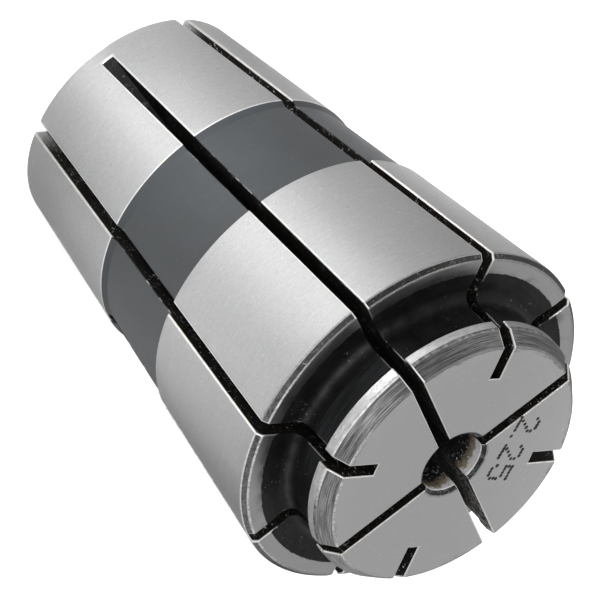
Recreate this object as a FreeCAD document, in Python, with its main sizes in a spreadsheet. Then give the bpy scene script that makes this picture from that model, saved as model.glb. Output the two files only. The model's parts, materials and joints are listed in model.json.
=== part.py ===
# Spring collet: one turned and slotted steel sleeve that closes on a round shank.
# Frame: millimetres, +Z along the axis towards the nose, origin at the centre of the tail face.
import FreeCAD, Part
import math
import os
import Sketcher

doc = FreeCAD.newDocument("spring_collet")

# Driving sizes: lengths in millimetres, angles in degrees. Depths are counted from the nose face.
sheet = doc.addObject("Spreadsheet::Sheet", "sizes")
sizes = [
    ("overallLength", 18.7, "nose face to tail face"),
    ("headDiameter", 13.0, "largest diameter, where the taper meets the ring chamfer"),
    ("taperAngle", 8.0, "half angle of the closing taper"),
    ("ringDepth", 2.35, "depth of the flat ring that the closing nut pushes on"),
    ("ringChamfer", 0.18, "chamfer round the ring's outer edge"),
    ("grooveMouth", 11.6, "diameter where the ring ends and the nut groove begins"),
    ("grooveAngle", 4.0, "slope of the groove's back wall"),
    ("neckDiameter", 9.5, "bottom of the nut groove"),
    ("neckFillet", 0.4, "root radius of the nut groove"),
    ("noseDiameter", 10.0, "cylinder behind the nose cone"),
    ("rimDepth", 0.93, "depth of the nose's back edge"),
    ("coneDepth", 0.55, "depth of the cone round the nose face"),
    ("faceDiameter", 9.27, "flat nose face"),
    ("reliefStart", 8.75, "depth of the relief band's front step"),
    ("reliefEnd", 12.9, "depth of the relief band's back edge"),
    ("reliefDrop", 0.12, "how far the relief band lies below the taper"),
    ("reliefRun", 0.25, "length of the slope at the relief band's back edge"),
    ("tailRound", 0.15, "radius of the tail's outer edge"),
    ("boreDiameter", 2.25, "clamping bore"),
    ("boreChamfer", 0.11, "lead-in of the clamping bore"),
    ("clampLength", 8.0, "depth to which the clamping bore grips"),
    ("clearDiameter", 5.0, "clearance bore behind the clamping bore"),
    ("funnelAngle", 30.0, "half angle of the funnel between the two bores"),
    ("clearChamfer", 0.2, "chamfer at the tail end of the clearance bore"),
    ("slotWidth", 0.44, "width of every saw slot"),
    ("slotsPerEnd", 4, "slots cut from each end"),
    ("sawRadius", 25.0, "radius of the slotting saw, which sets the slots' run-out"),
    ("coreDiameter", 6.8, "uncut core on the nose face, where the tail slots end"),
    ("tailWeb", 0.56, "height of the uncut edge below the nose slots"),
    ("overcut", 1.0, "how far a cut runs out past the metal"),
]
for row, (alias, value, meaning) in enumerate(sizes, start=1):
    sheet.set("A%d" % row, alias)
    sheet.set("B%d" % row, str(value))
    sheet.set("C%d" % row, meaning)
    sheet.setAlias("B%d" % row, alias)
doc.recompute()

# Radii and heights that several sketches share, as formulas over the sheet.
def cell(alias):
    return "sizes." + alias


headRadius = cell("headDiameter") + " / 2"
noseRadius = cell("noseDiameter") + " / 2"
neckRadius = cell("neckDiameter") + " / 2"
mouthRadius = cell("grooveMouth") + " / 2"
faceRadius = cell("faceDiameter") + " / 2"
boreRadius = cell("boreDiameter") + " / 2"
clearRadius = cell("clearDiameter") + " / 2"
taperSlope = "tan(%s * 1 deg)" % cell("taperAngle")
reach = "%s + %s" % (headRadius, cell("overcut"))
aboveNose = "%s + %s" % (cell("overallLength"), cell("overcut"))


def height(depth):
    return "%s - %s" % (cell("overallLength"), depth)


ringHeight = height(cell("ringDepth"))
rimHeight = height(cell("rimDepth"))
edgeHeight = "%s - %s" % (ringHeight, cell("ringChamfer"))


def taperRadius(level):
    return "%s - (%s - (%s)) * %s" % (headRadius, edgeHeight, level, taperSlope)


def value(formula):
    return float(sheet.evalExpression(formula))


body = doc.addObject("PartDesign::Body", "spring_collet")
body.Label = "spring_collet"


def originFeature(role):
    for feature in body.Origin.OriginFeatures:
        if feature.Role == role:
            return feature
    raise ValueError("no origin feature " + role)


def radialSketch(name):
    sketch = body.newObject("Sketcher::SketchObject", name)
    sketch.AttachmentSupport = (originFeature("XZ_Plane"), [""])
    sketch.MapMode = "FlatFace"
    return sketch


def pin(sketch, geometry, point, across, up):
    # Ties one point of the sketch to its radius and its height. A zero puts it on the sketch's own
    # axis, and None leaves that direction free.
    for kind, formula, zeroAxis in (("DistanceX", across, -2), ("DistanceY", up, -1)):
        if formula is None:
            continue
        if formula == "0":
            sketch.addConstraint(Sketcher.Constraint("PointOnObject", geometry, point, zeroAxis))
            continue
        index = sketch.addConstraint(Sketcher.Constraint(kind, geometry, point, value(formula)))
        sketch.setExpression("Constraints[%d]" % index, formula)


def outline(sketch, points):
    # A closed outline of straight edges through (radius, height) points given as formulas.
    spots = [FreeCAD.Vector(value(across), value(up), 0) for across, up in points]
    count = len(spots)
    for index in range(count):
        sketch.addGeometry(Part.LineSegment(spots[index], spots[(index + 1) % count]), False)
    for index in range(count):
        sketch.addConstraint(Sketcher.Constraint("Coincident", index, 2, (index + 1) % count, 1))
    for index, (across, up) in enumerate(points):
        pin(sketch, index, 1, across, up)
    doc.recompute()


def softCorner(sketch, corner, size):
    # Rounds the outline's corner of this number. The sharp corner stays as a tied point.
    before = corner - 1
    sketch.fillet(before, corner, sketch.Geometry[before].StartPoint, sketch.Geometry[corner].EndPoint,
                  value(size), True, True)
    arc = max(index for index, piece in enumerate(sketch.Geometry) if isinstance(piece, Part.ArcOfCircle))
    index = sketch.addConstraint(Sketcher.Constraint("Radius", arc, value(size)))
    sketch.setExpression("Constraints[%d]" % index, size)
    doc.recompute()


def turned(kind, name, points, soft=None):
    # A full turn of an outline about the axis, as metal (Revolution) or as a cut (Groove). soft
    # gives one corner's number and its radius.
    sketch = radialSketch(name + "Outline")
    outline(sketch, points)
    if soft:
        softCorner(sketch, *soft)
    feature = body.newObject("PartDesign::" + kind, name)
    feature.Profile = sketch
    feature.ReferenceAxis = (sketch, ["V_Axis"])
    feature.Angle = 360
    sketch.Visibility = False
    doc.recompute()
    return feature


def edgeAt(feature, radius, level):
    # The name of the round edge with this radius at this height.
    near = 1e-4
    for number, edge in enumerate(feature.Shape.Edges, start=1):
        curve = edge.Curve
        if isinstance(curve, Part.Circle) and abs(curve.Radius - radius) < near:
            if abs(curve.Center.z - level) < near:
                return "Edge%d" % number
    raise ValueError("no round edge of radius %.3f at height %.3f" % (radius, level))


def rounded(name, feature, radius, level, size):
    fillet = body.newObject("PartDesign::Fillet", name)
    fillet.Base = (feature, [edgeAt(feature, value(radius), value(level))])
    fillet.setExpression("Radius", size)
    doc.recompute()
    return fillet


def slotSketch(name, arcHeight, arcEnd, far):
    # The saw's path in a plane through the axis: its rim reaches the axis at arcHeight and runs out
    # in an arc up or down to arcEnd, past the metal. far is the height past the other end.
    sketch = radialSketch(name + "Path")
    radius = value(cell("sawRadius"))
    hub = FreeCAD.Vector(radius, value(arcHeight), 0)
    swing = math.asin((value(arcEnd) - hub.y) / radius)
    upward = swing > 0
    angles = sorted([math.pi, math.pi - swing])
    saw = Part.Circle(hub, FreeCAD.Vector(0, 0, 1), radius)
    start = FreeCAD.Vector(0, hub.y, 0)
    corners = [
        hub + FreeCAD.Vector(-math.cos(swing), math.sin(swing), 0) * radius,
        FreeCAD.Vector(value(reach), value(arcEnd), 0),
        FreeCAD.Vector(value(reach), value(far), 0),
        FreeCAD.Vector(0, value(far), 0),
        start,
    ]
    sketch.addGeometry(Part.ArcOfCircle(saw, angles[0], angles[1]), False)
    for first, second in zip(corners, corners[1:]):
        sketch.addGeometry(Part.LineSegment(first, second), False)
    atAxis, atEnd = (2, 1) if upward else (1, 2)
    sketch.addConstraint(Sketcher.Constraint("Coincident", 0, atEnd, 1, 1))
    for line in (1, 2, 3):
        sketch.addConstraint(Sketcher.Constraint("Coincident", line, 2, line + 1, 1))
    sketch.addConstraint(Sketcher.Constraint("Coincident", 4, 2, 0, atAxis))
    pin(sketch, 0, 3, cell("sawRadius"), arcHeight)
    pin(sketch, 4, 2, "0", arcHeight)
    pin(sketch, 1, 1, None, arcEnd)
    pin(sketch, 2, 1, reach, arcEnd)
    pin(sketch, 3, 1, reach, far)
    pin(sketch, 4, 1, "0", far)
    doc.recompute()
    return sketch


def slots(name, sketch):
    # One saw slot, centred on the sketch's plane, then repeated round the axis.
    before = body.Shape.Volume
    cut = body.newObject("PartDesign::Pocket", name)
    cut.Profile = sketch
    cut.SideType = "Symmetric"
    cut.setExpression("Length", cell("slotWidth"))
    sketch.Visibility = False
    doc.recompute()
    oneSlot = before - cut.Shape.Volume
    ring = body.newObject("PartDesign::PolarPattern", name + "s")
    ring.Originals = [cut]
    ring.Axis = (originFeature("Z_Axis"), [""])
    ring.Angle = 360
    ring.setExpression("Occurrences", cell("slotsPerEnd"))
    body.Tip = ring
    doc.recompute()
    allSlots = before - ring.Shape.Volume
    if oneSlot <= 0 or allSlots < 1.5 * oneSlot:
        raise ValueError(name + " cuts too little")
    return ring


# The turned blank: taper, ring and nose, still solid inside.
tailRadius = taperRadius("0")
blank = turned("Revolution", "blank", [
    ("0", "0"),
    (tailRadius, "0"),
    (headRadius, edgeHeight),
    (headRadius + " - " + cell("ringChamfer"), ringHeight),
    (noseRadius, ringHeight),
    (noseRadius, height(cell("coneDepth"))),
    (faceRadius, cell("overallLength")),
    ("0", cell("overallLength")),
])
tailEdge = rounded("tailEdge", blank, tailRadius, "0", cell("tailRound"))

# The nut groove: its back wall slopes down from the ring to the neck, with a rounded root.
wallFoot = "%s - (%s - %s) * tan(%s * 1 deg)" % (ringHeight, mouthRadius, neckRadius, cell("grooveAngle"))
nutGroove = turned("Groove", "nutGroove", [
    (mouthRadius, ringHeight),
    (neckRadius, wallFoot),
    (neckRadius, rimHeight),
    (mouthRadius, rimHeight),
], soft=(1, cell("neckFillet")))

# The relief band, which leaves two ground bands on the taper.
frontStep = height(cell("reliefStart"))
backStep = height(cell("reliefEnd"))
slopeTop = backStep + " + " + cell("reliefRun")
reliefBand = turned("Groove", "reliefBand", [
    (headRadius, frontStep),
    (taperRadius(frontStep) + " - " + cell("reliefDrop"), frontStep),
    (taperRadius(slopeTop) + " - " + cell("reliefDrop"), slopeTop),
    (taperRadius(backStep), backStep),
    (headRadius, backStep),
])

# The bores: clamping bore with its lead-in, funnel, and clearance bore to the tail.
clampFoot = height(cell("clampLength"))
funnelFoot = "%s - (%s - %s) / tan(%s * 1 deg)" % (clampFoot, clearRadius, boreRadius, cell("funnelAngle"))
bores = turned("Groove", "bores", [
    ("0", cell("overallLength")),
    (boreRadius + " + " + cell("boreChamfer"), cell("overallLength")),
    (boreRadius, height(cell("boreChamfer"))),
    (boreRadius, clampFoot),
    (clearRadius, funnelFoot),
    (clearRadius, cell("clearChamfer")),
    (clearRadius + " + " + cell("clearChamfer"), "0"),
    ("0", "0"),
])

# Tail slots run the whole outside length and leave only the core behind the nose face.
coreRadius = cell("coreDiameter") + " / 2"
sawSquared = "%s ^ 2" % cell("sawRadius")
tailArc = height("sqrt(%s - (%s - %s) ^ 2)" % (sawSquared, cell("sawRadius"), coreRadius))
belowTail = "0 - " + cell("overcut")
tailPath = slotSketch("tailSlot", tailArc, aboveNose, belowTail)
halfPitch = FreeCAD.Rotation(FreeCAD.Vector(0, 1, 0), 180 / value(cell("slotsPerEnd")))
tailPath.AttachmentOffset = FreeCAD.Placement(FreeCAD.Vector(0, 0, 0), halfPitch)
tailPath.setExpression("AttachmentOffset.Rotation.Angle", "180 / " + cell("slotsPerEnd"))
tailSlots = slots("tailSlot", tailPath)

# Nose slots, halfway between, stop short of the tail and leave a web there.
webRadius = taperRadius(cell("tailWeb"))
webReach = "sqrt(%s - (%s - (%s)) ^ 2)" % (sawSquared, cell("sawRadius"), webRadius)
noseArc = cell("tailWeb") + " + " + webReach
nosePath = slotSketch("noseSlot", noseArc, belowTail, aboveNose)
noseSlots = slots("noseSlot", nosePath)

doc.recompute()
for item in doc.Objects:
    faults = [state for state in item.State if state in ("Invalid", "Error")]
    if faults:
        raise ValueError("%s is %s" % (item.Name, faults))
shape = body.Shape
if shape.isNull() or not shape.isValid() or len(shape.Solids) != 1:
    raise ValueError("the collet is not one valid solid")

os.makedirs("parts", exist_ok=True)
shape.exportStep("parts/%s.step" % body.Label)
box = shape.BoundBox
print("%s: volume %.2f mm3, box %.3f x %.3f x %.3f mm, %d faces" % (
    body.Label, shape.Volume, box.XLength, box.YLength, box.ZLength, len(shape.Faces)))
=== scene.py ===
import json
import math
import random

import bmesh
import bpy
from mathutils import Matrix, Vector

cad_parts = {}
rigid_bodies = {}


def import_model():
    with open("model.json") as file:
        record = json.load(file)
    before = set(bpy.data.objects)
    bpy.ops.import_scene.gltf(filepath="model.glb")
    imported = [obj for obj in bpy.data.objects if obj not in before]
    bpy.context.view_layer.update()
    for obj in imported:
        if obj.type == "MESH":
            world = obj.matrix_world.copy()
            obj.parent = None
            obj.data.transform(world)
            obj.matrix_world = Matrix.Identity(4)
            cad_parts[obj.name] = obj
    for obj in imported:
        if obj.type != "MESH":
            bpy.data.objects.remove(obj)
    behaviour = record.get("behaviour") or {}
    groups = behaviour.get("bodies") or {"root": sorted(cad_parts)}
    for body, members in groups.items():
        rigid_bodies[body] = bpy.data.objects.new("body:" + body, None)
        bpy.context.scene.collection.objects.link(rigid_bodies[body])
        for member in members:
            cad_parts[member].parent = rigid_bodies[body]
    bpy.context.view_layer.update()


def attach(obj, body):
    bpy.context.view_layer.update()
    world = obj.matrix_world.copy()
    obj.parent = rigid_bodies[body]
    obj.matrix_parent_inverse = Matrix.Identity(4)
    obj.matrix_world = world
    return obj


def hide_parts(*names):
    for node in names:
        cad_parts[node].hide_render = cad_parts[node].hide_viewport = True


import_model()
colletNode = "spring_collet"
print("loaded the packed collet")

mm = 0.001

# Everything is modelled in millimetres with z up the collet's axis, and brought to metres at the end.
collet = {
    "length": 18.7,
    "headRadius": 6.5,
    "taperAngle": 8.0,
    "edgeHeight": 16.17,         # where the taper meets the ring's chamfer
    "ringHeight": 16.35,
    "ringChamfer": 0.18,
    "mouthRadius": 5.8,
    "wallSlope": 4.0,            # back wall of the nut groove
    "neckRadius": 4.75,
    "neckFillet": 0.4,
    "noseBack": 17.77,
    "noseRadius": 5.0,
    "coneHeight": 18.15,
    "faceRadius": 4.635,
    "reliefFront": 9.95,
    "reliefBack": 5.8,
    "reliefRun": 0.25,
    "reliefDrop": 0.12,
    "tailRound": 0.15,
    "boreRadius": 1.125,
    "boreChamfer": 0.12,
    "clampFoot": 10.7,
    "clearRadius": 2.5,
    "funnelAngle": 30.0,
    "clearChamfer": 0.2,
    "slotWidth": 0.44,
    "slotsPerEnd": 4,
    "sawRadius": 25.0,
    "coreRadius": 3.4,           # where the tail slots end on the nose face
    "tailWeb": 0.56,             # height of the uncut edge below the nose slots
    "webTop": 4.5,               # the nose slots end below this height
    "coreFoot": 13.0,            # and the tail slots above this one
    "steps": 16,                 # faces between two slots
    "smoothAngle": 42.0,
}

coneLines = {"count": 6, "depth": 0.009}
reliefLines = {"count": 4, "pitch": 0.11, "depth": 0.008}
neckLines = {"count": 3, "pitch": 0.13, "depth": 0.012}

zoneNames = [
    "groundBand", "reliefBand", "ringChamfer", "ringFace", "grooveBlack", "noseRim", "noseCone",
    "noseFace", "boreLead", "boreWall", "slotWall", "tailFace", "clearBore", "brightEdge", "darkEdge",
    "softCorner", "highlitCorner", "outerCorner", "dotMark",
]

# Broken edges: the widest, and each other one as a share of it. A slot's edge goes by the surface it
# runs along, a turned corner by the two surfaces that meet there.
edgeBreaks = {
    "widest": 0.12,
    "segments": 3,
    "slotEnd": 0.38,
    "slot": {
        "groundBand": 0.5, "reliefBand": 0.25, "ringChamfer": 0.5, "ringFace": 0.4,
        "grooveBlack": 0.26, "noseRim": 0.5, "noseCone": 0.45, "noseFace": 0.34,
        "boreLead": 0.25, "boreWall": 0.2, "tailFace": 0.4, "clearBore": 0.2,
    },
    "corner": {
        ("groundBand", "ringChamfer"): 0.3, ("ringChamfer", "ringFace"): 0.36,
        ("grooveBlack", "noseRim"): 0.2, ("noseRim", "noseCone"): 0.5, ("noseCone", "noseFace"): 0.4,
    },
    "otherCorner": 0.22,
}


def deselectAll():
    if bpy.context.object and bpy.context.object.mode != "OBJECT":
        bpy.ops.object.mode_set(mode="OBJECT")
    bpy.ops.object.select_all(action="DESELECT")


def makeActive(piece):
    deselectAll()
    piece.select_set(True)
    bpy.context.view_layer.objects.active = piece


def startEditing(piece):
    makeActive(piece)
    bpy.ops.object.mode_set(mode="EDIT")


def stopEditing():
    bpy.ops.object.mode_set(mode="OBJECT")


def selectFaces(piece, wanted):
    # Selects the faces of the piece in edit mode for which wanted() holds.
    bpy.ops.mesh.select_mode(type="FACE")
    bpy.ops.mesh.select_all(action="DESELECT")
    mesh = bmesh.from_edit_mesh(piece.data)
    for face in mesh.faces:
        if wanted(face):
            face.select_set(True)
    mesh.select_flush_mode()
    bmesh.update_edit_mesh(piece.data)


def applyModifier(piece, kind, **settings):
    makeActive(piece)
    modifier = piece.modifiers.new(kind.title(), kind)
    for name, setting in settings.items():
        setattr(modifier, name, setting)
    bpy.ops.object.modifier_apply(modifier=modifier.name)


# The collet's half section. Points are (radius, height).
def taperRadius(height):
    slope = math.tan(math.radians(collet["taperAngle"]))
    return collet["headRadius"] - (collet["edgeHeight"] - height) * slope


def noseSawHeight(radius):
    # Path of the saw's rim for the slots cut from the nose.
    saw = collet["sawRadius"]
    outer = taperRadius(collet["tailWeb"])
    hub = collet["tailWeb"] + math.sqrt(saw ** 2 - (saw - outer) ** 2)
    return hub - math.sqrt(saw ** 2 - (saw - radius) ** 2)


def tailSawHeight(radius):
    # Path of the saw's rim for the slots cut from the tail.
    saw = collet["sawRadius"]
    hub = collet["length"] - math.sqrt(saw ** 2 - (saw - collet["coreRadius"]) ** 2)
    return hub + math.sqrt(saw ** 2 - (saw - radius) ** 2)


def sawPath(heightAt, start, end, pieces=10):
    radii = [start + (end - start) * step / pieces for step in range(pieces + 1)]
    return [(radius, heightAt(radius)) for radius in radii]


def roundedCorner(before, corner, after, size, pieces):
    corner = Vector(corner)
    toBefore = (Vector(before) - corner).normalized()
    toAfter = (Vector(after) - corner).normalized()
    half = toBefore.angle(toAfter) / 2
    setback = size / math.tan(half)
    centre = corner + (toBefore + toAfter).normalized() * (size / math.sin(half))
    first = corner + toBefore * setback - centre
    last = corner + toAfter * setback - centre
    turn = first.angle_signed(last)
    points = []
    for step in range(pieces + 1):
        spoke = Matrix.Rotation(-turn * step / pieces, 2) @ first
        points.append(tuple(centre + spoke))
    return points


def toolLines(start, end, count, depth):
    # Fine turned lines along a straight flank: shallow valleys between the two points.
    start, end = Vector(start), Vector(end)
    along = end - start
    inward = Vector((-along.y, along.x)).normalized() * depth
    points = []
    for index in range(count):
        for share, dip in ((0.12, 0.0), (0.5, 1.0), (0.88, 0.0)):
            points.append(tuple(start + along * ((index + share) / count) + inward * dip))
    return points


def outsideOutline():
    # From the tail's web along the outside to the nose face.
    c = collet
    tail = (taperRadius(0), 0)
    web = (taperRadius(c["tailWeb"]), c["tailWeb"])
    tailCorner = roundedCorner((c["clearRadius"], 0), tail, web, c["tailRound"], 4)
    backTop = c["reliefBack"] + c["reliefRun"]
    reliefFoot = (taperRadius(backTop) - c["reliefDrop"], backTop)
    reliefHead = (taperRadius(c["reliefFront"]) - c["reliefDrop"], c["reliefFront"])
    linesEnd = backTop + reliefLines["count"] * reliefLines["pitch"]
    linesTop = (taperRadius(linesEnd) - c["reliefDrop"], linesEnd)
    mouth = (c["mouthRadius"], c["ringHeight"])
    wallDrop = (c["mouthRadius"] - c["neckRadius"]) * math.tan(math.radians(c["wallSlope"]))
    root = (c["neckRadius"], c["ringHeight"] - wallDrop)
    noseFoot = (c["neckRadius"], c["noseBack"])
    rootRound = roundedCorner(mouth, root, noseFoot, c["neckFillet"], 6)
    neckStart = (c["neckRadius"], rootRound[-1][1] + 0.05)
    neckEnd = (c["neckRadius"], neckStart[1] + neckLines["count"] * neckLines["pitch"])
    coneFoot = (c["noseRadius"], c["coneHeight"])
    coneHead = (c["faceRadius"], c["length"])
    coneStart = tuple(Vector(coneFoot).lerp(Vector(coneHead), 0.1))
    coneEnd = tuple(Vector(coneFoot).lerp(Vector(coneHead), 0.92))
    above = [
        (taperRadius(c["reliefBack"]), c["reliefBack"]),
        reliefFoot,
        *toolLines(reliefFoot, linesTop, reliefLines["count"], reliefLines["depth"]),
        reliefHead,
        (taperRadius(c["reliefFront"]), c["reliefFront"]),
        (c["headRadius"], c["edgeHeight"]),
        (c["headRadius"] - c["ringChamfer"], c["ringHeight"]),
        mouth,
        *rootRound,
        *toolLines(neckStart, neckEnd, neckLines["count"], neckLines["depth"]),
        noseFoot,
        (c["noseRadius"], c["noseBack"]),
        coneFoot,
        *toolLines(coneStart, coneEnd, coneLines["count"], coneLines["depth"]),
        coneHead,
    ]
    return tailCorner, web, above


def sectionRegions():
    # Three closed outlines that share the two saw paths: the metal between the slots, the web that
    # closes the nose slots at the tail, and the core that closes the tail slots at the nose.
    c = collet
    tailCorner, web, above = outsideOutline()
    funnelSlope = math.tan(math.radians(c["funnelAngle"]))
    funnelFoot = c["clampFoot"] - (c["clearRadius"] - c["boreRadius"]) / funnelSlope
    nosePath = sawPath(noseSawHeight, c["clearRadius"], web[0])
    tailPath = sawPath(tailSawHeight, c["coreRadius"], c["boreRadius"])
    webRegion = [
        (c["clearRadius"], c["clearChamfer"]),
        (c["clearRadius"] + c["clearChamfer"], 0),
        *tailCorner,
        web,
        *reversed(nosePath[:-1]),
    ]
    coreRegion = [
        tailPath[0],
        (c["boreRadius"] + c["boreChamfer"], c["length"]),
        (c["boreRadius"], c["length"] - c["boreChamfer"]),
        *reversed(tailPath[1:]),
    ]
    fingerRegion = [
        web,
        *above,
        *tailPath,
        (c["boreRadius"], c["clampFoot"]),
        (c["clearRadius"], funnelFoot),
        *nosePath[:-1],
    ]
    return fingerRegion, webRegion, coreRegion


def drawRegion(piece, points):
    # Walks an outline with extruded vertices, closes it and fills it.
    bpy.ops.mesh.select_mode(type="VERT")
    bpy.ops.mesh.select_all(action="DESELECT")
    spots = [Vector((radius, 0, height)) for radius, height in points]
    bpy.ops.mesh.primitive_plane_add(size=0.01, location=spots[0])
    bpy.ops.mesh.merge(type="CENTER")
    for before, after in zip(spots, spots[1:] + spots[:1]):
        bpy.ops.mesh.extrude_vertices_move(TRANSFORM_OT_translate={"value": after - before})
    bpy.ops.mesh.select_linked()
    bpy.ops.mesh.remove_doubles(threshold=1e-5)
    bpy.ops.mesh.edge_face_add()


def ringAngle(vertex):
    return math.degrees(math.atan2(vertex.co.y, vertex.co.x))


def openSlots(piece, pitch):
    # Squeezes each ring of the sector between the walls of its two half slots. What was drawn past
    # the sector's ends, the web and the core, goes to the middle of its slot.
    mesh = bmesh.from_edit_mesh(piece.data)
    near = 0.01
    for vertex in mesh.verts:
        radius = math.hypot(vertex.co.x, vertex.co.y)
        angle = ringAngle(vertex)
        if angle < -near:
            turned = 0
        elif angle > pitch + near:
            turned = pitch
        else:
            slotAngle = math.degrees(math.asin(collet["slotWidth"] / 2 / radius))
            turned = slotAngle + angle / pitch * (pitch - 2 * slotAngle)
        vertex.co.x = radius * math.cos(math.radians(turned))
        vertex.co.y = radius * math.sin(math.radians(turned))
    bmesh.update_edit_mesh(piece.data)


def rollFaces(angle):
    # Extrudes the selected faces and swings them about the collet's axis.
    bpy.ops.mesh.extrude_region_move(TRANSFORM_OT_translate={"value": (0, 0, 0)})
    mesh = bmesh.from_edit_mesh(bpy.context.object.data)
    turn = Matrix.Rotation(math.radians(angle), 3, "Z")
    for vertex in mesh.verts:
        if vertex.select:
            vertex.co = turn @ vertex.co
    bmesh.update_edit_mesh(bpy.context.object.data)


def buildSector():
    # One eighth of the collet, from the middle of a nose slot (angle 0) to the middle of a tail slot.
    pitch = 180 / collet["slotsPerEnd"]
    bpy.ops.mesh.primitive_plane_add(size=1)
    sector = bpy.context.object
    sector.name = "colletSector"
    startEditing(sector)
    bpy.ops.mesh.delete(type="VERT")
    finger, web, core = sectionRegions()
    for region in (finger, web, core):
        drawRegion(sector, region)
    bpy.ops.mesh.select_all(action="SELECT")
    bpy.ops.mesh.remove_doubles(threshold=1e-4)
    bpy.ops.mesh.select_mode(type="FACE")
    bpy.ops.mesh.select_all(action="SELECT")
    bpy.ops.mesh.spin(steps=collet["steps"], angle=math.radians(pitch),
                      center=(0, 0, 0), axis=(0, 0, 1))
    mesh = bmesh.from_edit_mesh(sector.data)
    # The spin can turn either way, and the sector has to lie on the side of positive angles.
    if min(ringAngle(vertex) for vertex in mesh.verts) < -1:
        for vertex in mesh.verts:
            vertex.co.y = -vertex.co.y
        bmesh.update_edit_mesh(sector.data)

    def endFace(face, angle, low):
        # The web's flat end at this angle, or the core's.
        near = 0.05
        centre = face.calc_center_median()
        at = math.degrees(math.atan2(centre.y, centre.x))
        flat = abs(face.normal.z) < 0.01 and abs(at - angle) < near
        angles = [ringAngle(vertex) for vertex in face.verts]
        if not flat or max(angles) - min(angles) > near:
            return False
        top = max(vertex.co.z for vertex in face.verts)
        bottom = min(vertex.co.z for vertex in face.verts)
        return top < collet["webTop"] if low else bottom > collet["coreFoot"]

    # The web and the core are drawn out past the sector's ends, to be brought to the slots' middles.
    selectFaces(sector, lambda face: endFace(face, 0, True))
    rollFaces(-1.0)
    selectFaces(sector, lambda face: endFace(face, pitch, False))
    rollFaces(1.0)
    openSlots(sector, pitch)

    def onSeam(face):
        angles = [ringAngle(vertex) for vertex in face.verts]
        return any(all(abs(angle - seam) < 1e-3 for angle in angles) for seam in (0, pitch))

    selectFaces(sector, onSeam)
    bpy.ops.mesh.delete(type="FACE")
    bpy.ops.mesh.select_all(action="SELECT")
    bpy.ops.mesh.normals_make_consistent(inside=False)
    stopEditing()
    return sector


def closeRing(sector):
    # Mirrors the sector and copies the pair round the axis.
    makeActive(sector)
    sectors = [sector]
    bpy.ops.object.duplicate()
    mirrored = bpy.context.object
    startEditing(mirrored)
    bpy.ops.mesh.select_all(action="SELECT")
    bpy.ops.transform.resize(value=(1, -1, 1), center_override=(0, 0, 0))
    bpy.ops.mesh.flip_normals()
    stopEditing()
    sectors.append(mirrored)
    pairs = list(sectors)
    for turn in range(1, collet["slotsPerEnd"]):
        rotation = Matrix.Rotation(2 * math.pi * turn / collet["slotsPerEnd"], 4, "Z")
        for piece in pairs:
            makeActive(piece)
            bpy.ops.object.duplicate()
            copy = bpy.context.object
            copy.data.transform(rotation)
            sectors.append(copy)
    deselectAll()
    for piece in sectors:
        piece.select_set(True)
    bpy.context.view_layer.objects.active = sector
    bpy.ops.object.join()
    startEditing(sector)
    bpy.ops.mesh.select_all(action="SELECT")
    bpy.ops.mesh.remove_doubles(threshold=2e-4)
    bpy.ops.mesh.normals_make_consistent(inside=False)
    stopEditing()
    return sector


def zoneOf(face):
    # The surface that a face belongs to. Only a slot's flat wall is one face of many corners.
    c = collet
    centre = face.calc_center_median()
    radius = sum(math.hypot(v.co.x, v.co.y) for v in face.verts) / len(face.verts)
    height = centre.z
    normal = face.normal
    radial = Vector((centre.x, centre.y, 0)).normalized()
    if len(face.verts) > 4:
        return "slotWall"
    outward = normal.dot(radial)
    pathGap = 0.03
    onNosePath = abs(height - noseSawHeight(radius)) < pathGap and normal.z > 0.1
    if onNosePath and height < c["webTop"] and radius < taperRadius(c["tailWeb"]) + 0.01:
        return "slotWall"
    onTailPath = abs(height - tailSawHeight(radius)) < pathGap and normal.z < -0.1
    if onTailPath and height > c["coreFoot"] and radius < c["coreRadius"] + 0.01:
        return "slotWall"
    if outward < -0.5 or radius < c["boreRadius"] + c["boreChamfer"] * 0.9:
        if height > c["length"] - c["boreChamfer"] * 1.2:
            return "boreLead"
        clamping = height > c["clampFoot"] - 0.01 and radius < c["boreRadius"] + 0.02
        return "boreWall" if clamping else "clearBore"
    if normal.z < -0.95 and height < 0.05:
        return "tailFace"
    if height > c["length"] - 0.001:
        return "noseFace"
    if height > c["coneHeight"] + 0.001:
        return "noseCone"
    if height > c["noseBack"] + 0.01:
        return "noseRim"
    if height > c["ringHeight"] + 0.001 or radius < c["mouthRadius"] - 0.02 and height > 15:
        return "grooveBlack"
    if height > c["ringHeight"] - 0.005:
        return "ringFace"
    if height > c["edgeHeight"] + 0.005:
        return "ringChamfer"
    if c["reliefBack"] < height < c["reliefFront"] + 0.02:
        return "reliefBand"
    return "groundBand"


def paintZones(piece):
    startEditing(piece)
    mesh = bmesh.from_edit_mesh(piece.data)
    for face in mesh.faces:
        face.material_index = zoneNames.index(zoneOf(face))
    bmesh.update_edit_mesh(piece.data)
    stopEditing()


def edgeShare(edge):
    # The share of the widest break that an edge gets. Inward corners and nearly flat ones get none.
    if len(edge.link_faces) != 2 or edge.calc_face_angle_signed() < math.radians(20):
        return 0
    zones = [zoneNames[face.material_index] for face in edge.link_faces]
    walls = [face for face in edge.link_faces if zoneNames[face.material_index] == "slotWall"]
    if len(walls) == 1:
        other = zones[0] if zones[1] == "slotWall" else zones[1]
        atEnd = len(walls[0].verts) == 4 and other in ("groundBand", "noseFace")
        return edgeBreaks["slotEnd"] if atEnd else edgeBreaks["slot"][other]
    if walls:
        return 0
    pair = tuple(sorted(zones, key=zoneNames.index))
    return edgeBreaks["corner"].get(pair, edgeBreaks["otherCorner"])


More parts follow.
